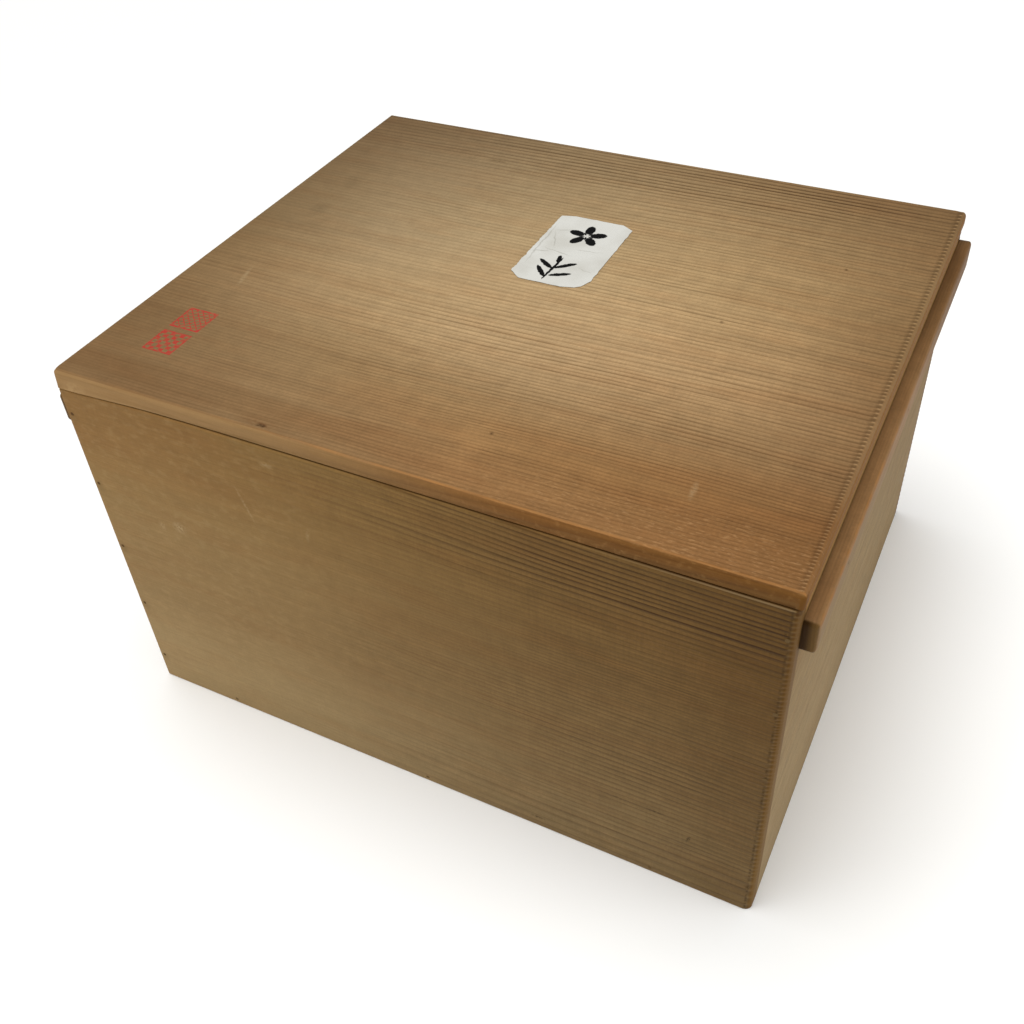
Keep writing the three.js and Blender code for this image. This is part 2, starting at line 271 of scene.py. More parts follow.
def uneven(tree, place, size, span, result=(0, 1), detail=2):
    """Noise with its own size along each axis, in millimetres, stretched from a span to a result."""
    stretched = add(tree, "Mapping", {}, {"Vector": place, "Scale": [1 / (length * MM) for length in size]})
    value = add(tree, "TexNoise", {}, {"Vector": stretched, "Scale": 1.0, "Detail": detail})
    (start, end), (low, high) = span, result
    limits = {"Value": value, "From Min": start, "From Max": end, "To Min": low, "To Max": high}
    return add(tree, "MapRange", {}, limits)


def grained(grain, across, along):
    """A size for uneven that is longer along the grain."""
    return [along if axis == grain else across for axis in (X, Y, Z)]


def tint(tree, colour, mask, shade, amount=1.0, blend="MIX"):
    """Mixes a shade into the colour where the mask is."""
    share = add(tree, "Math", {"operation": "MULTIPLY", "use_clamp": True}, {0: mask, 1: amount})
    mixed = {"Fac": share, "Color1": colour, "Color2": linear(shade)}
    return add(tree, "MixRGB", {"blend_type": blend}, mixed)


def darken(tree, colour, place, tones):
    """Multiplies the colour by each tone's shade, where the masks after it meet."""
    for shade, *masks in tones:
        colour = tint(tree, colour, meet(tree, place, *masks), shade, 1, "MULTIPLY")
    return colour


def cedar(name, grain, early, late, contrast):
    """Sawn cedar. The ring attribute draws its pale early wood and its thin darker late wood."""
    material = bpy.data.materials.new(name)
    material.use_nodes = True
    tree = material.node_tree
    place = add(tree, "TexCoord", {}, {}, "Object")
    ring = add(tree, "Attribute", {"attribute_name": "ring"}, {}, "Fac")
    show = add(tree, "Attribute", {"attribute_name": "show"}, {}, "Fac")
    groove = add(tree, "Attribute", {"attribute_name": "groove"}, {}, "Fac")

    # Each ring has its own strength, and its line fades in and out along the board
    phase = add(tree, "Math", {"operation": "FRACT"}, {0: ring})
    rise = add(tree, "MapRange", {}, {"Value": phase, "From Min": 0.35, "From Max": 0.82})
    fall = add(tree, "MapRange", {}, {"Value": phase, "From Min": 1.0, "From Max": 0.86})
    number = add(tree, "Math", {"operation": "FLOOR"}, {0: ring})
    own = add(tree, "TexWhiteNoise", {"noise_dimensions": "1D"}, {"W": number})
    strength = add(tree, "MapRange", {}, {"Value": own, "To Min": 0.7})
    fade = uneven(tree, place, grained(grain, 14, 110), (0.35, 0.65), (0.6, 1))
    line = meet(tree, place, rise, fall, show, strength, fade)
    colour = tint(tree, linear(early), line, late, contrast)

    # Patches a hand wide are browner than the rest, and streaks are a little redder
    patches = uneven(tree, place, grained(grain, 60, 150), (0.4, 0.75), detail=4)
    colour = tint(tree, colour, patches, late, 0.1)
    streaks = uneven(tree, place, grained(grain, 13, 70), (0.45, 0.65), detail=4)
    colour = tint(tree, colour, streaks, "f5dcc8", 0.2, "MULTIPLY")

    # Years that grew alike make paler and darker bands
    years = add(tree, "TexNoise", {"noise_dimensions": "1D"}, {"W": ring, "Scale": 0.3, "Detail": 3})
    limits = {"Value": years, "From Min": 0.3, "From Max": 0.7, "To Min": 0.96, "To Max": 1.04}
    bands = add(tree, "MapRange", {}, limits)

    # Fibres are about 0.04 mm wide, and are drawn 0.9 mm wide so that they show
    fibre = uneven(tree, place, grained(grain, 0.9, 60), (0, 1), detail=3)
    limits = {"Value": fibre, "From Min": 0.3, "From Max": 0.7, "To Min": 0.89, "To Max": 1.11}
    fibres = add(tree, "MapRange", {}, limits)

    # Specks, mottling, and fine marks across the grain from the plane and from handling
    specks = uneven(tree, place, (1.8, 1.8, 1.8), (0.3, 0.7), (0.93, 1.07))
    mottling = uneven(tree, place, (11, 11, 11), (0.3, 0.7), (0.93, 1.07), 5)
    marks = uneven(tree, place, grained(grain, 14, 1.3), (0.3, 0.7), (0.97, 1.03))
    shade = meet(tree, place, bands, fibres, specks, mottling, marks)
    clear = add(tree, "MapRange", {}, {"Value": show, "From Max": 0.5, "To Min": 0.5})
    shaded = {"Fac": clear, "Color1": colour, "Color2": shade}
    colour = add(tree, "MixRGB", {"blend_type": "MULTIPLY"}, shaded)

    # Dirt lies in the deep grooves of worn ends
    dirt = add(tree, "MapRange", {}, {"Value": groove, "From Min": 0.15, "From Max": 0.55})
    colour = tint(tree, colour, dirt, "4a3519", 0.5)
    height = add(tree, "Math", {"operation": "MULTIPLY_ADD"}, {0: line, 1: 0.8, 2: fibre})
    return material, tree, place, colour, height


def hard_ridges(tree):
    """A mask for the hard lines that stand up between worn grooves."""
    groove = add(tree, "Attribute", {"attribute_name": "groove"}, {}, "Fac")
    return add(tree, "MapRange", {}, {"Value": groove, "From Min": 0.3, "From Max": 0.1})


def finish_cedar(tree, colour, height, roughness):
    """Plugs the finished colour into the shader, with a matt surface and the fibres' fine relief."""
    shader = tree.nodes["Principled BSDF"]
    tree.links.new(colour, shader.inputs["Base Color"])
    shader.inputs["Specular IOR Level"].default_value = 0.08
    limits = {"Value": height, "From Min": 0.3, "To Min": roughness + 0.08, "To Max": roughness - 0.05}
    tree.links.new(add(tree, "MapRange", {}, limits), shader.inputs["Roughness"])
    relief = add(tree, "Bump", {}, {"Height": height, "Strength": 0.5, "Distance": 0.15 * MM})
    tree.links.new(relief, shader.inputs["Normal"])


def worn_dip(x, y):
    """How far the rim and the lid on it have worn down at the front left corner, in millimetres."""
    to_left = smooth(x, LEFT_END + 77.5, LEFT_END + 0.5)
    return CORNER_DIP * to_left * smooth(y, INNER_FACE - 0.75, INNER_FACE - 5.75)


def front_rings(p):
    dip = 0.03 * smooth(p.z, 170, 270) * max(p.x + 60, 0)
    lean = LEAN * (p.y + HALF_DEPTH)
    return ring_count(p.z + dip + lean + wander(p.x, p.z, 3), FRONT_RINGS)


def front_wear(p):
    outside = 1 - smooth(p.y, FACE + 8.25, INNER_FACE - 0.75)
    to_right = 0.03 + 0.14 * smooth(p.x, -100, 200) + 0.2 * smooth(p.x, RIGHT_END - 6, RIGHT_END - 2.5)
    return outside * to_right * (1 - 0.7 * smooth(p.x, RIGHT_END - 2.2, RIGHT_END - 0.7))


def front_show(p):
    patch = noise.noise(Vector((p.x / 120, p.z / 60, 11)))
    to_right = 0.05 + 0.95 * smooth(p.x + 60 * patch, -80, 130)
    bands = 0.25 * hump(p.z, 125, 22) + 0.1 * hump(p.z, 30, 20)
    end = 1 - 0.9 * smooth(p.x, RIGHT_END - 5.5, RIGHT_END - 2.5)
    return to_right * (0.48 + 0.85 * smooth(p.z, 230, 262) + bands) * end


# Painted light and shade: the front is darker towards the right and browner towards the top, as the light
# falls from the lower left
FRONT_TONES = (
    # shade, then for each axis where the tone begins and where it is full
    ("ccc5bb", (X, -242, 242)),
    ("ece8e0", (X, 165, 230)),
    ("e2cfac", (Z, 0, 287)),
    ("f8f5f0", (X, 20, -200), (Z, 200, 120)),
    ("f7eeeb", (X, -40, -200), (Z, 190, 270)),
)
wood, tree, place, colour, height = cedar("weathered cedar front", X, "9c855e", "5c4526", 1)
colour = darken(tree, colour, place, FRONT_TONES)
colour = darken(tree, colour, place, [("f2ede6", blot(tree, place, (-40, -HALF_DEPTH, 118), (420, 60, 75)))])
scuffs = meet(tree, place, (X, 40, -160), uneven(tree, place, (7, 7, 4), (0.5, 0.7), detail=6))
colour = tint(tree, colour, scuffs, "a98e62", 0.18)
drips = meet(tree, place, (X, -40, 160), (Z, 120, 220), uneven(tree, place, (1.6, 1.6, 60), (0.5, 0.75)))
colour = tint(tree, colour, drips, "5c4426", 0.2)

# The end grain is darker. The hard lines stand up as ticks on the worn right corner, beside a dark
# broken line of painted shade where the face starts to turn
outside = (Y, INNER_FACE + 0.05, INNER_FACE - 0.55)
end_grain = meet(tree, place, (X, RIGHT_END - 3.3, RIGHT_END - 1.5), outside)
colour = tint(tree, colour, end_grain, "e6d28e", 0.9, "MULTIPLY")
colour = tint(tree, colour, meet(tree, place, end_grain, (Z, 100, 250)), "ecebe6", 0.7, "MULTIPLY")
rounding = meet(tree, place, (X, RIGHT_END - 3.1, RIGHT_END - 1.9), outside)
colour = tint(tree, colour, rounding, "7a5420", 0.25)
ticks = meet(tree, place, (X, RIGHT_END - 4.3, RIGHT_END - 3.1), hard_ridges(tree))
colour = tint(tree, colour, ticks, "98825a", 0.12)
dashes = uneven(tree, place, (4, 4, 2.2), (0.42, 0.6))
corner_shade = meet(tree, place, (X, RIGHT_END - 5.3, RIGHT_END - 4.2), (X, RIGHT_END - 2.9, RIGHT_END - 4), dashes)
colour = tint(tree, colour, corner_shade, "3f2c14", 0.65)

# Painted shadow darkens the ledge in front of the lid, and a painted highlight lies along its arris at the
# right
shaded_ledge = meet(tree, place, (Y, FACE + 0.85, FACE + 1.35), (Y, FACE + 4.45, FACE + 3.65))
colour = tint(tree, colour, meet(tree, place, shaded_ledge, (Z, RIM - 4.5, RIM - 3.5)), "4a2f12", 0.6)
arris = meet(tree, place, (Y, FACE + 1.05, FACE + 0.75), (Z, RIM - 0.9, RIM - 0.5), (X, 90, 235))
colour = tint(tree, colour, arris, "b89c70", 0.3)

# Stains round the pegs of the left edge, pale scuffs and a scratch, and dark marks in the grain
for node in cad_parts:
    if node.startswith("front_left_peg_"):
        low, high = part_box(node)
        stain = blot(tree, place, (low + high) / 2 / MM - Vector((0, 0, 2)), (6, 60, 7))
        colour = tint(tree, colour, stain, "4a3418", 0.3)
MARKS = (
    # x, z, width, height, turn, shade, amount
    (-173, 188, 7, 6, 0, "cdb990", 0.35),
    (-189, 184, 4, 5, 0, "cdb990", 0.2),
    (-107, 233, 1.6, 18, -18, "cdb990", 0.2),
    (-61, 224, 2, 8, 10, "cdb990", 0.15),
    (-81, 274, 7, 3, 0, "cdb990", 0.2),
    (197, 56, 1.5, 4.5, 20, "2c1d0d", 1.2),
    (174, 72, 8, 1.5, 0, "33220f", 0.9),
    (150, 71.5, 16, 1.8, 0, "33220f", 0.6),
    (89, 10.5, 7, 1.8, 0, "33220f", 0.9),
    (236.5, 270, 1, 6, 0, "33220f", 0.8),
)
broken = uneven(tree, place, (1.6, 1.6, 1.6), (0.38, 0.6), (0.15, 1))
for x, z, wide, tall, angle, shade, amount in MARKS:
    mark = blot(tree, place, (x, -HALF_DEPTH, z), (wide, 60, tall), angle, Y)
    colour = tint(tree, colour, meet(tree, place, mark, broken), shade, amount)
mirrored = add(tree, "VectorMath", {"operation": "ABSOLUTE"}, {0: place})
between_walls = meet(tree, mirrored, (X, WALL + 1, WALL - 0.5))
inside = meet(tree, place, (Y, INNER_FACE - 2.25, INNER_FACE - 0.55), between_walls)
colour = tint(tree, colour, inside, PLANED, 0.65)
finish_cedar(tree, colour, height, 0.6)

bm = sawn_board("front_board", X, {Z: ROW}, (1.8, 1.2, 1.2), (2, 0, 1.2))
for vert in bm.verts:
    x, y, z = vert.co / MM
    over_end = max((x - RIGHT_END + 5) / 4.5, 0)
    vert.co.y += 2.4 * over_end**2 * smooth(y, FACE + 8.25, FACE + 2.25) * MM
    vert.co.z -= worn_dip(x, y) * smooth(z, RIM - 17.5, RIM - 1.5) * MM
weather(bm, Z, front_rings, front_wear, front_show)
piece(bm, "front_cedar_board", "front_board", "box", wood)


def back_rings(p):
    return ring_count(p.z + LEAN * (p.y - HALF_DEPTH) + wander(p.x, p.z, 23), BACK_RINGS)


def back_show(p):
    return 0.45 + 0.35 * noise.noise(Vector((p.x / 110, p.z / 50, 29)))


def back_wear(p):
    outside = smooth(p.y, BACK_FACE - 9.25, BACK_FACE - 6.25)
    ends = 0.15 * smooth(abs(p.x), RIGHT_END - 7.5, RIGHT_END - 2.5)
    return outside * (0.08 + 0.1 * smooth(p.x, 100, -200) + ends)


wood, tree, place, colour, height = cedar("weathered cedar back", X, "987f57", "5a4528", 0.7)
mirrored = add(tree, "VectorMath", {"operation": "ABSOLUTE"}, {0: place})
ends = meet(tree, mirrored, (X, RIGHT_END - 4, RIGHT_END - 1.5))
BACK_TONES = (
    ("c8ae90", (Z, 90, 287)),
    ("a98a68", 0.8, ends, (Y, BACK_INNER + 0.25, BACK_INNER + 1.25)),
)
colour = darken(tree, colour, place, BACK_TONES)
between_walls = meet(tree, mirrored, (X, WALL + 1, WALL - 0.5))
inside = meet(tree, place, (Y, BACK_INNER + 2.25, BACK_INNER + 0.55), between_walls)
colour = tint(tree, colour, inside, PLANED, 0.65)
finish_cedar(tree, colour, height, 0.6)
bm = sawn_board("back_board", X, {Z: ROW}, (3, 0, 1.2), (3, 3, 2))
weather(bm, Z, back_rings, back_wear, back_show)
piece(bm, "back_cedar_board", "back_board", "box", wood)

# Side boards
# Plain cedar boards, 9 mm thick, butted between the front and back boards, with their grain from
# front to back. They are paler and smoother than the front.
SIDE_RINGS = ((80, 4.4), (190, 3.6), (288, 4.8))
SIDE_TONES = (
    ("eae4d9", (Z, 0, 230)),
    ("f0e4cc", 0.9, (Z, 190, 262)),
    ("f0ece4", (Y, -100, 210)),
)
SIDE_ROUNDS = {"left": ((1.5, 0, 1.2), (0.6, 0, 1.5)), "right": ((0.6, 0, 1.2), (1.5, 0, 1.5))}


def side_rings(p):
    return ring_count(p.z + LEAN * abs(p.x) + wander(p.y, p.z, 41 if p.x > 0 else 53), SIDE_RINGS)


def side_wear(p):
    return 0.05 * smooth(abs(p.x), RIGHT_END - 5.5, RIGHT_END - 2.5)


wood, tree, place, colour, height = cedar("smooth cedar sides", Y, "98825e", "7a6648", 0.3)
mirrored = add(tree, "VectorMath", {"operation": "ABSOLUTE"}, {0: place})
colour = darken(tree, colour, place, SIDE_TONES)
# Painted light: the strip above the battens, which the lid and the battens shade, is painted paler and
# golden
colour = tint(tree, colour, meet(tree, place, (Z, RIM - 13.5, RIM - 10.5)), "9a7444", 0.8)
colour = tint(tree, colour, meet(tree, mirrored, (X, WALL + 2.5, WALL + 1)), PLANED, 0.65)
finish_cedar(tree, colour, height, 0.68)
for side, (low_round, high_round) in SIDE_ROUNDS.items():
    bm = sawn_board(side + "_side_board", Y, {Z: 1.4}, low_round, high_round)
    weather(bm, Z, side_rings, side_wear)
    piece(bm, side + "_cedar_side", side + "_side_board", "box", wood)

# Bottom board
# One cedar board let in between the four walls, planed and never weathered.
BOTTOM_RINGS = ((150, 5), (400, 4))


def bottom_rings(p):
    return ring_count(p.y + 200 + wander(p.x, p.y, 67), BOTTOM_RINGS)


def no_wear(p):
    return 0


planed, tree, place, colour, height = cedar("planed cedar", X, PLANED, "94703f", 0.6)
finish_cedar(tree, colour, height, 0.66)
bm = sawn_board("bottom_board", X, {Y: 3}, (0, 0, 0), (0, 0, 0))
weather(bm, Y, bottom_rings, no_wear)
piece(bm, "bottom_cedar_board", "bottom_board", "box", planed)

# Handle battens
# Cedar battens of 9 by 24 mm outside the side boards, held by three pegs. Their tops are brown from
# hands, with a thin rubbed arris. Their outer faces are paler near the front, and their ends are dark.
HANDLE_LOW, HANDLE_HIGH = (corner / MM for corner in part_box("right_handle_batten"))
OUTER, TOP = HANDLE_HIGH.x, HANDLE_HIGH.z
HANDLE_ROUNDS = {"left": ((2.2, 5, 4.3), (0, 3, 3.2)), "right": ((0, 5, 4.3), (2.2, 3, 3.2))}
HANDLE_SLANT = 1.7  # the right one was planted a little lower at its front end


def handle_rings(p):
    return (abs(p.x) - RIGHT_END + 0.5) / 1.7 + 0.04 * p.z + 0.3 * noise.noise(Vector((p.y / 70, p.x, 5)))


def handle_wear(p):
    return 0.05


def handle_show(p):
    return 0.3 + 0.7 * smooth(abs(p.y), BACK_INNER + 0.75, BACK_INNER + 3.75)


wood, tree, place, colour, height = cedar("worn cedar battens", Y, "8c6a44", "4a351c", 0.6)
mirrored = add(tree, "VectorMath", {"operation": "ABSOLUTE"}, {0: place})
colour = tint(tree, colour, uneven(tree, place, (9, 24, 9), (0.42, 0.7), detail=4), "5a3f22", 0.2)
colour = darken(tree, colour, place, [("e6d6bf", (X, 0, -1))])
outer_face = meet(tree, mirrored, (X, OUTER - 0.7, OUTER - 0.2), (Z, TOP - 4.5, TOP - 9.5))
colour = tint(tree, colour, meet(tree, place, outer_face, (Y, -10, -120)), "7d643f", 0.85)
# Painted light on the inner half of the tops, where the lid and the side boards shade them
lit_inner_top = meet(tree, mirrored, (X, OUTER - 2.1, OUTER - 7.6), (Z, TOP - 5.5, TOP - 3.5))
colour = tint(tree, colour, lit_inner_top, "b08a5a", 0.1)
colour = darken(tree, colour, place, [("d4cdc2", (Y, -30, 160))])
rubbed = meet(tree, mirrored, (X, OUTER - 1.8, OUTER - 0.8), (Z, TOP - 5, TOP - 3.5))
patchy = uneven(tree, place, (3, 9, 3), (0.38, 0.6), (0.1, 1))
colour = tint(tree, colour, meet(tree, place, rubbed, patchy, (Y, 120, -150)), "94622a", 0.6)
front_end = meet(tree, place, (Y, HANDLE_LOW.y + 2.2, HANDLE_LOW.y + 0.8))
colour = tint(tree, colour, front_end, "573f18", 0.8)
back_end = meet(tree, place, (Y, HANDLE_HIGH.y - 6, HANDLE_HIGH.y - 1))
colour = tint(tree, colour, back_end, "4a3b2c", 0.5)
colour = tint(tree, colour, meet(tree, mirrored, front_end, (X, OUTER - 2.6, OUTER - 7.1)), "2c1700", 0.85)
finish_cedar(tree, colour, height, 0.55)
for side, (low_round, high_round) in HANDLE_ROUNDS.items():
    bm = sawn_board(side + "_handle_batten", Y, {X: 0.6, Z: 1.5}, low_round, high_round)
    if side == "right":
        for vert in bm.verts:
            vert.co.z -= HANDLE_SLANT * smooth(vert.co.y / MM, 200, -200) * MM
    weather(bm, X, handle_rings, handle_wear, handle_show)
    piece(bm, side + "_cedar_handle", side + "_handle_batten", "box", wood)

# Pegs
# Tapered cedar pegs, driven flush. The end grain has drunk up dirt at the left corners, and in the
# lid's left batten.
PORE = 0.6


def peg_end(name, early, late):
    """Cedar end grain, with its pores drawn coarse enough to show."""
    material = bpy.data.materials.new(name)
    material.use_nodes = True
    tree = material.node_tree
    place = add(tree, "TexCoord", {}, {}, "Object")
    pores = add(tree, "TexNoise", {}, {"Vector": place, "Scale": 1 / (PORE * MM)})
    shader = tree.nodes["Principled BSDF"]
    tree.links.new(tint(tree, linear(early), pores, late), shader.inputs["Base Color"])
    shader.inputs["Roughness"].default_value = 0.75
    shader.inputs["Specular IOR Level"].default_value = 0.08
    return material


dirty = peg_end("dirty peg end grain", "664826", "3f2b15")
clean = peg_end("clean peg end grain", "745c3a", "574429")
for node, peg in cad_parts.items():
    if "_peg_" in node:
        peg.data.materials.clear()
        peg.data.materials.append(dirty if "_left_peg_" in node else clean)

# Lid board
# One flat cedar board on the rim. It is worn as the front board is: hardly at the left, and most where
# its rings run out over the right end. Its front strip is browner than the rest.
LID_LOW, LID_HIGH = (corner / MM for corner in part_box("lid_board"))
LID_RIGHT, LID_TOP, LID_FRONT = LID_HIGH.x, LID_HIGH.z, LID_LOW.y
LID_SURFACE = 297  # the top's height, to the nearest millimetre
LID_RINGS = ((95, 5.2), (250, 4.2), (277, 4.7), (335, 3.7), (420, 2.8))  # from the back to the front


def lid_rings(p):
    rise = 0.02 * smooth(p.y, 60, -160) * max(p.x, 0)
    lean = LEAN * (LID_TOP - p.z)
    return ring_count(LID_HIGH.y - p.y + rise + lean + wander(p.x, p.y, 83), LID_RINGS)


def lid_wear(p):
    upper = smooth(p.z, LID_TOP - 4.3, LID_TOP - 2.3)
    to_right = 0.05 + 0.1 * smooth(p.x, -180, 120) + 0.4 * smooth(p.x, LID_RIGHT - 7, LID_RIGHT - 4.5)
    return upper * to_right * (1 - 0.8 * smooth(p.x, LID_RIGHT - 3.2, LID_RIGHT - 1.7))


def lid_show(p):
    patch = noise.noise(Vector((p.x / 130, p.y / 50, 17)))
    to_right = 0.35 + 0.65 * smooth(p.x + 60 * patch, -240, 110)
    back_band = 0.65 * smooth(p.y, 120, 185) * (1 - 0.7 * smooth(p.x, 140, 230))
    bands = back_band + 0.25 * hump(p.y, -85, 45)
    return to_right * (0.5 + bands) * (1 - smooth(p.x, LID_RIGHT - 4.5, LID_RIGHT - 2))


LID_TONES = (
    ("eef0ed", (Y, -70, 60)),
    ("f7ebdb", (X, -180, 230)),
    ("fefbf2", (X, 80, -120), (Y, 40, -60)),
    ("f7f7f7", (Y, 60, 170)),
    ("faead4", (Y, -105, -170), (X, -150, 100)),
    ("e6d8c8", 0.4, (Y, -176, -183), (Y, -203, -196), (X, 120, -60)),
)
LID_PATCHES = (
    # x, y, width, depth, shade
    (-20, -132, 420, 60, "eeebe4"),
    (-250, 0, 110, 150, "eae8df"),
    (250, -10, 75, 150, "ded8d0"),
)
wood, tree, place, colour, height = cedar("weathered cedar lid", X, "bda37d", "634419", 1)
# Painted light: a pool of overhead light on the middle of the lid, which darkens and browns towards its
# edges and corners
light_pool = blot(tree, place, (36, 22, LID_SURFACE), (340, 295, 200))
limits = {"Value": light_pool, "From Min": 1.0, "From Max": -0.15}
painted_light_falloff = add(tree, "MapRange", {"interpolation_type": "SMOOTHSTEP"}, limits)
colour = darken(tree, colour, place, [("a69788", painted_light_falloff)])
colour = darken(tree, colour, place, LID_TONES)
for x, y, wide, deep, shade in LID_PATCHES:
    patch = blot(tree, place, (x, y, LID_SURFACE), (wide, deep, 200))
    colour = darken(tree, colour, place, [(shade, patch)])

# Hands have rubbed the front strip and its arris orange. The front edge is browner than the top
patchy = uneven(tree, place, (45, 8, 8), (0.35, 0.6), (0.3, 1), 3)
handled = meet(tree, place, (Y, -180, -198), (X, -20, 120), patchy)
colour = tint(tree, colour, handled, "b98a58", 0.12)
flecks = uneven(tree, place, (4, 1.1, 4), (0.55, 0.7), detail=3)
colour = tint(tree, colour, meet(tree, place, (Y, -150, -195), (X, -60, 160), flecks), "c79c6c", 0.25)
patchy = uneven(tree, place, (25, 3, 3), (0.35, 0.65), (0.3, 1))
arris = meet(tree, place, (Y, LID_FRONT + 3.55, LID_FRONT + 2.55), (Y, LID_FRONT + 1.45, LID_FRONT + 1.95))
arris = meet(tree, place, arris, patchy)
colour = tint(tree, colour, arris, "ac763c", 0.15)
colour = tint(tree, colour, meet(tree, place, arris, (X, -160, 40)), "ac763c", 0.5)
front_face = meet(tree, place, (Y, LID_FRONT + 2.05, LID_FRONT + 1.45))
colour = darken(tree, colour, place, [("e6dcc8", front_face)])
# Painted light and shade: the front edge is lighter towards the left and darker towards the right
colour = tint(tree, colour, meet(tree, place, front_face, (X, 100, -130)), "ad8a5c", 0.5)
colour = darken(tree, colour, place, [("ebf1ea", front_face, (X, 60, 235))])
streaks = uneven(tree, place, (40, 8, 1.6), (0.48, 0.65), detail=3)
colour = tint(tree, colour, meet(tree, place, front_face, streaks), "7d5c34", 0.3)
upper_face = meet(tree, place, front_face, (Z, LID_TOP - 6.3, LID_TOP - 4.3), (X, -60, 120))
colour = tint(tree, colour, upper_face, "6e4312", 0.3)

# The end is brown, and the hard lines stand up as pale ticks along it
end_face = meet(tree, place, (X, LID_RIGHT - 3.7, LID_RIGHT - 2.1), (Z, LID_TOP - 1.1, LID_TOP - 2.5))
colour = tint(tree, colour, end_face, "7a5019", 0.85)
front_corner = meet(tree, place, end_face, (Y, LID_FRONT + 7.75, LID_FRONT + 3.75))
colour = tint(tree, colour, front_corner, "5e3c17", 0.6)
end_strip = meet(tree, place, (X, LID_RIGHT - 5, LID_RIGHT - 3.7), (X, LID_RIGHT - 2.1, LID_RIGHT - 3.1))
ticks = meet(tree, place, end_strip, (Y, LID_FRONT + 2.15, LID_FRONT + 3.35), hard_ridges(tree))
colour = tint(tree, colour, ticks, "c9a676", 0.25)

# Handling marks: pale scratches, grey smudges, a warm band, and small dark knots and dots
SPOTS = (
    # x, y, width, depth, turn, shade, amount
    (-199, -67, 2.5, 16, 15, "c4b088", 0.25),
    (167, -158, 2.5, 10, 5, "c9b48c", 0.25),
    (-228, -212, 12, 2, 0, "c9a878", 0.35),
    (-206, 88, 9, 16, 0, "5e4c34", 0.4),
    (-206, 36, 9, 14, 0, "5e4c34", 0.4),
    (38, -172, 12, 44, 0, "b98d5a", 0.2),
    (-85, -204, 4.8, 2.1, 0, "241408", 1.6),
    (-87, -202, 22, 6, 0, "6b4523", 0.5),
    (-114, 159, 16, 3, 0, "5a4529", 0.8),
    (128, 3, 2, 2, 0, "4b331a", 1),
    (44, -157, 2, 2, 0, "4b331a", 1),
    (184, 96, 2, 2, 0, "4b331a", 1),
)
broken = uneven(tree, place, (3, 1.6, 3), (0.35, 0.62), (0.25, 1))
for x, y, wide, deep, angle, shade, amount in SPOTS:
    spot = blot(tree, place, (x, y, LID_SURFACE), (wide, deep, 30), angle)
    colour = tint(tree, colour, meet(tree, place, spot, broken), shade, amount)
within = (Y, INNER_FACE - 0.25, INNER_FACE + 0.75)
underside = meet(tree, place, (Z, LID_LOW.z + 0.15, LID_LOW.z + 0.05), within)
colour = tint(tree, colour, underside, PLANED, 0.8)

# Two square stamps in red ink near the front left corner, printed thinly over the grain. Each has a
# frame round a plain geometric filling.
STAMP_X = -196
STAMPS = ((-127.4, 12, "lattice"), (-155.6, 11.8, "checks"))  # y, half the width, and filling
thin = uneven(tree, place, (3, 1.5, 3), (0.34, 0.56), (0.3, 1), 3)
for y, half, filling in STAMPS:
    spot = {"Vector": place, "Location": Vector((STAMP_X, y, LID_SURFACE)) * MM}
    spot["Scale"] = Vector((half, half, 20)) * MM
    inner = add(tree, "Mapping", {"vector_type": "TEXTURE"}, spot)
    from_centre = add(tree, "VectorMath", {"operation": "ABSOLUTE"}, {0: inner})
    across = add(tree, "SeparateXYZ", {}, {"Vector": from_centre}, X)
    deep = add(tree, "SeparateXYZ", {}, {"Vector": from_centre}, Y)
    outward = add(tree, "Math", {"operation": "MAXIMUM"}, {0: across, 1: deep})
    printed = add(tree, "MapRange", {}, {"Value": outward, "From Min": 1.0, "From Max": 0.97})
    border = add(tree, "MapRange", {}, {"Value": outward, "From Min": 0.84, "From Max": 0.87})
    if filling == "lattice":
        lines = []
        for operation in ("ADD", "SUBTRACT"):
            slope = add(tree, "Math", {"operation": operation}, {0: across, 1: deep})
            lines.append(add(tree, "Math", {"operation": "PINGPONG"}, {0: slope, 1: 0.2}))
        nearest = add(tree, "Math", {"operation": "MINIMUM"}, {0: lines[0], 1: lines[1]})
        filled = add(tree, "MapRange", {}, {"Value": nearest, "From Min": 0.06, "From Max": 0.03})
    else:
        squares = {"Vector": inner, "Scale": 3.2, "Color1": (1, 1, 1, 1), "Color2": (0, 0, 0, 1)}
        filled = add(tree, "TexChecker", {}, squares, "Fac")
    ink = add(tree, "Math", {"operation": "MAXIMUM"}, {0: border, 1: filled})
    colour = tint(tree, colour, meet(tree, place, printed, ink, thin), "ad302a", 0.9)
finish_cedar(tree, colour, height, 0.58)

bm = sawn_board("lid_board", X, {Y: ROW}, (1.5, 2, 0.6), (2.5, 1.4, 1.5))
for vert in bm.verts:
    # The upper arris is worn away along the right end, and unevenly along the front
    x, y, z = vert.co / MM
    over_end = max((x - LID_RIGHT + 3) / 3, 0)
    reach = 3.5 + 3 * smooth(x, -120, -220)
    over_front = max((LID_FRONT + reach - y) / reach, 0)
    wavy = max(1.6 + 3 * noise.noise(Vector((x / 60, 0, 31))), 0.3)
    vert.co.z -= (1.7 * over_end**2 + wavy * over_front**2) * smooth(z, LID_TOP - 7.3, LID_TOP - 1.3) * MM

    # The front edge leans forward, most at its left corner, where it follows the worn rim
    lower = smooth(z, LID_TOP - 2.3, LID_TOP - 8.3) * smooth(y, LID_FRONT + 9.75, LID_FRONT + 1.75)
    vert.co.z -= worn_dip(x, y) * smooth(z, LID_TOP - 4.3, LID_TOP - 8.3) * MM
    vert.co.y -= (1.1 + 1.7 * smooth(x, -110, -240)) * lower * MM
    vert.co.x += 2.6 * smooth(x, -225, -245) * lower * MM
weather(bm, Y, lid_rings, lid_wear, lid_show)
piece(bm, "lid_cedar_board", "lid_board", "lid", wood)

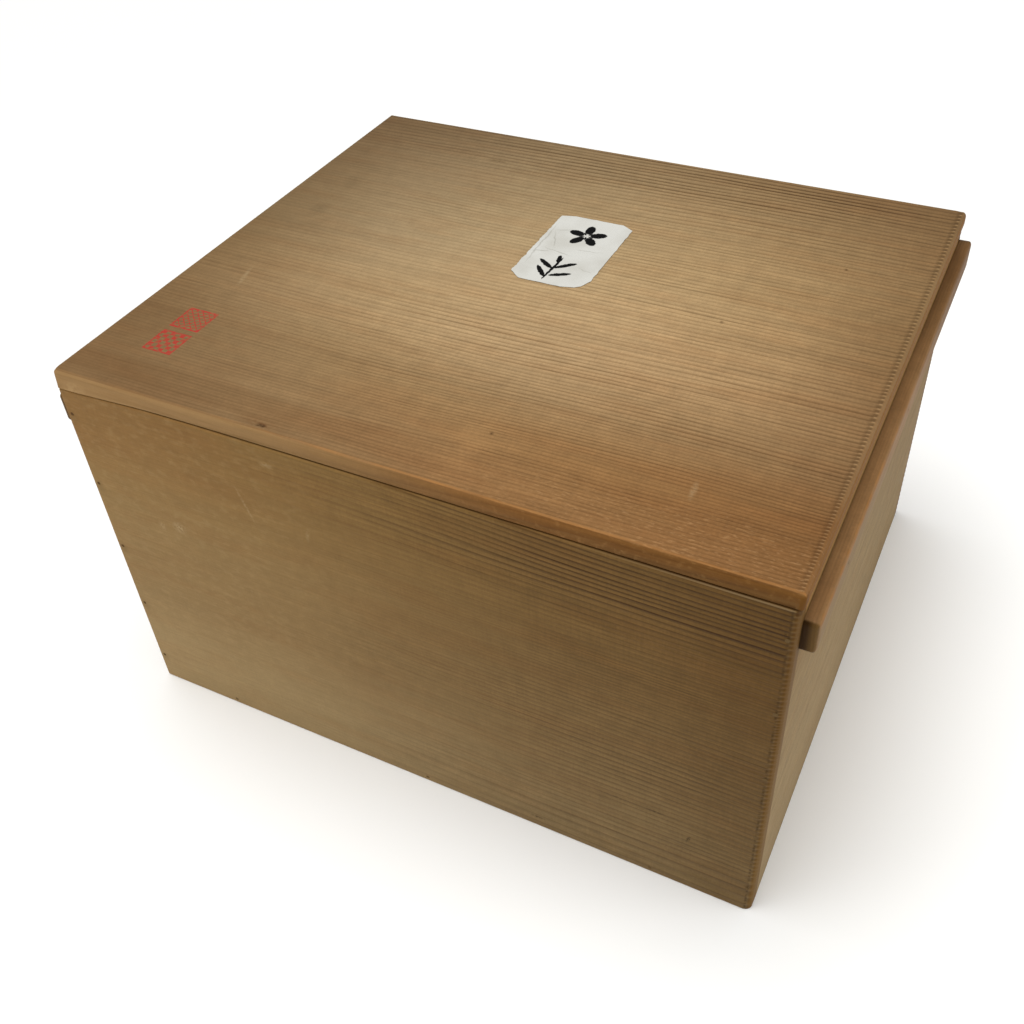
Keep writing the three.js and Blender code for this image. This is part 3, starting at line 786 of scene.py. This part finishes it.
# Label
# Thin white paper with its corners cut off, pasted on the lid and creased. Its two brush drawings, a
# blossom and a spray of leaves, stand in for writing.
LABEL_LOW, LABEL_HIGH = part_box("paper_label")
LABEL_MIDDLE = (LABEL_LOW + LABEL_HIGH) / 2
INK = "0a0a0a"
PAPER_THICKNESS = 0.12
CORNER_CUTS = (
    # which corner, and how far the cut reaches along the short and the long edge
    (-1, 1, 11, 2.8),
    (1, 1, 8.6, 5.1),
    (-1, -1, 10, 7),
    (1, -1, 11, 8),
    (1, -1, 17, 4.5),
    (1, -1, 5.5, 14),
)
paper = bpy.data.materials.new("creased white paper")
paper.use_nodes = True
tree = paper.node_tree
place = add(tree, "TexCoord", {}, {}, "Object")
stains = uneven(tree, place, (25, 25, 25), (0.4, 0.7), detail=3)
colour = tint(tree, linear("cbcac3"), stains, "b4b1a7", 0.5)
middle = LABEL_MIDDLE / MM

# Painted shade darkens the old folds in thin grey lines. One runs along the torn left edge
FOLDS = (
    # x and y from the label's middle, width, length and turn
    (-25, 2, 0.9, 38, 2),
    (-21, -8, 9, 0.9, 14),
    (-10, -5, 16, 0.7, -10),
    (-15, 26, 12, 0.7, 20),
    (-18, 10, 0.8, 16, 24),
    (12, 3, 14, 0.6, 8),
    (20, -22, 9, 0.6, -20),
)
FOLD_SHAKE = Vector((4, 4, 0)) * MM
shaken = add(tree, "TexNoise", {}, {"Vector": place, "Scale": 1 / (6 * MM), "Detail": 3}, "Color")
wavy = add(tree, "VectorMath", {"operation": "MULTIPLY_ADD"}, {0: shaken, 1: FOLD_SHAKE, 2: place})
for x, y, wide, deep, angle in FOLDS:
    centre = middle + Vector((x, y, 0)) + FOLD_SHAKE / 2 / MM
    fold = blot(tree, wavy, centre, (wide, deep, 9), angle)
    crease = add(tree, "MapRange", {}, {"Value": fold, "From Min": 0.1, "From Max": 0.6})
    colour = tint(tree, colour, crease, "8f8c80", 0.4)

# Brush dabs: place, width, length and turn. Five petals and their stamens, then stem and leaves
BLOSSOM, SPRAY = Vector((1.6, 22.5, 0)), Vector((-2.4, -28, 0))
LEAVES = (
    (-7, 5, 2.2, 9, 55),
    (7, 7, 2.2, 9.5, -50),
    (-6.5, -5, 2.1, 9, 40),
    (8, -5, 2.1, 9, -62),
    (0, 1, 1.2, 18, -4),
    (-1, 14, 1.8, 6, 12),
)
INK_SHAKE = Vector((1.4, 1.4, 0)) * MM
dabs = []
for turn in range(5, 360, 72):
    for reach, wide, deep, offset in ((8.6, 4, 6.8, 0), (3.4, 0.7, 2.4, 36)):
        lean = math.radians(turn + offset)
        centre = BLOSSOM + Vector((-math.sin(lean), math.cos(lean), 0)) * reach
        dabs.append((centre, wide, deep, math.degrees(lean)))
dabs += [(SPRAY + Vector((x, y, 0)), wide, deep, turn) for x, y, wide, deep, turn in LEAVES]
shaken = add(tree, "TexNoise", {}, {"Vector": place, "Scale": 1 / (1.5 * MM), "Detail": 2}, "Color")
rough = add(tree, "VectorMath", {"operation": "MULTIPLY_ADD"}, {0: shaken, 1: INK_SHAKE, 2: place})
for centre, wide, deep, turn in dabs:
    dab = blot(tree, rough, middle + centre + INK_SHAKE / 2 / MM, (wide, deep, 9), turn)
    stroke = add(tree, "MapRange", {}, {"Value": dab, "From Min": 0.06, "From Max": 0.16})
    colour = tint(tree, colour, stroke, INK)
shader = tree.nodes["Principled BSDF"]
tree.links.new(colour, shader.inputs["Base Color"])
shader.inputs["Roughness"].default_value = 0.9
shader.inputs["Specular IOR Level"].default_value = 0.1

low, high = LABEL_LOW, LABEL_HIGH
cells = [round(length / MM) for length in high - low]  # a millimetre wide
bm = bmesh.new()
bmesh.ops.create_grid(bm, x_segments=cells[X], y_segments=cells[Y], size=0.5)
bmesh.ops.scale(bm, vec=high - low, verts=bm.verts)
bmesh.ops.translate(bm, vec=(LABEL_MIDDLE.x, LABEL_MIDDLE.y, low.z), verts=bm.verts)
for side_x, side_y, wide, deep in CORNER_CUTS:
    point = Vector((high.x if side_x > 0 else low.x, high.y if side_y > 0 else low.y, low.z))
    point.x -= side_x * wide * MM
    slope = Vector((side_x / wide, side_y / deep, 0))
    everything = bm.verts[:] + bm.edges[:] + bm.faces[:]
    bmesh.ops.bisect_plane(
        bm, geom=everything, plane_co=point, plane_no=slope, clear_outer=True, dist=SAME_PLACE
    )
for vert in bm.verts:
    x, y = (vert.co.xy - LABEL_MIDDLE.xy) / MM
    soft = 0.16 * noise.noise(Vector((x / 9, y / 12, 3))) + 0.1
    long_folds = 0.16 * hump(x + 0.12 * y, 4, 1.1) + 0.12 * hump(x - 0.3 * y, -14, 0.9)
    cross_folds = 0.14 * hump(y - 0.2 * x, -3, 1) + 0.12 * hump(y + 0.1 * x, 30, 0.9)
    vert.co.z += max(soft + long_folds + cross_folds, 0) * MM
    torn = smooth(x, -20, -29) * (0.7 + 0.9 * noise.noise(Vector((0, y / 3, 9))))
    vert.co.x += (0.5 * noise.noise(Vector((0, y / 5, x / 30))) + torn) * MM
solid = bmesh.ops.extrude_face_region(bm, geom=bm.faces[:])
lifted = [item for item in solid["geom"] if isinstance(item, bmesh.types.BMVert)]
bmesh.ops.translate(bm, vec=(0, 0, PAPER_THICKNESS * MM), verts=lifted)
bmesh.ops.recalc_face_normals(bm, faces=bm.faces)
piece(bm, "creased_label", "paper_label", "lid", paper)

# Lid battens
# Two planed cedar battens across the grain under the lid, pegged from below. They drop in beside the
# side boards.
LID_BATTEN_RINGS = ((60, 3.4),)


def lid_batten_rings(p):
    return ring_count(abs(p.x) - 200 + wander(p.y, p.x, 97), LID_BATTEN_RINGS)


for side in ("left", "right"):
    node = f"lid_{side}_batten"
    bm = sawn_board(node, Y, {X: 2}, (2, 2, 2), (2, 2, 0))
    weather(bm, X, lid_batten_rings, no_wear)
    piece(bm, f"lid_{side}_cedar_batten", node, "lid", planed)

# Floor and light
# A plain pale floor and soft light, not part of the object.
FLOOR_REACH = 6  # metres, from the middle to its edges
LAMPS = (
    # name, kind, place, what it faces, size or angle, strength
    ("overhead light", "SUN", (-250, -150, 1500), (0, 0, 0), 50, 2.1),
    ("top lamp", "AREA", (20, 60, 1150), (10, 10, 297), 400, 0.7),
    ("left lamp", "AREA", (-700, -900, 450), (-150, -212, 100), 500, 1.8),
    ("right lamp", "AREA", (1300, 100, 600), (242, 0, 140), 700, 3.5),
)
WORLD_STRENGTH = 0.4

floor_mesh = bpy.data.meshes.new("floor")
bm = bmesh.new()
bmesh.ops.create_grid(bm, x_segments=1, y_segments=1, size=FLOOR_REACH)
bm.to_mesh(floor_mesh)
bm.free()
floor = bpy.data.objects.new("floor", floor_mesh)
bpy.context.scene.collection.objects.link(floor)
floor_paint = bpy.data.materials.new("matt pale floor")
floor_paint.use_nodes = True
shader = floor_paint.node_tree.nodes["Principled BSDF"]
shader.inputs["Base Color"].default_value = linear("fafaf8")
shader.inputs["Roughness"].default_value = 0.9
floor_mesh.materials.append(floor_paint)

for name, kind, spot, aim, size, strength in LAMPS:
    lamp = bpy.data.lights.new(name, kind)
    if kind == "SUN":
        lamp.angle = math.radians(size)
    else:
        lamp.size = size * MM
    lamp.energy = strength
    holder = bpy.data.objects.new(name, lamp)
    facing = (Vector(aim) - Vector(spot)).to_track_quat("-Z", "Y").to_matrix().to_4x4()
    holder.matrix_world = Matrix.Translation(Vector(spot) * MM) @ facing
    bpy.context.scene.collection.objects.link(holder)

world = bpy.data.worlds.new("world")
world.use_nodes = True
background = world.node_tree.nodes["Background"]
background.inputs["Color"].default_value = (1, 1, 1, 1)
background.inputs["Strength"].default_value = WORLD_STRENGTH
bpy.context.scene.world = world
bpy.context.scene.view_settings.view_transform = "Standard"
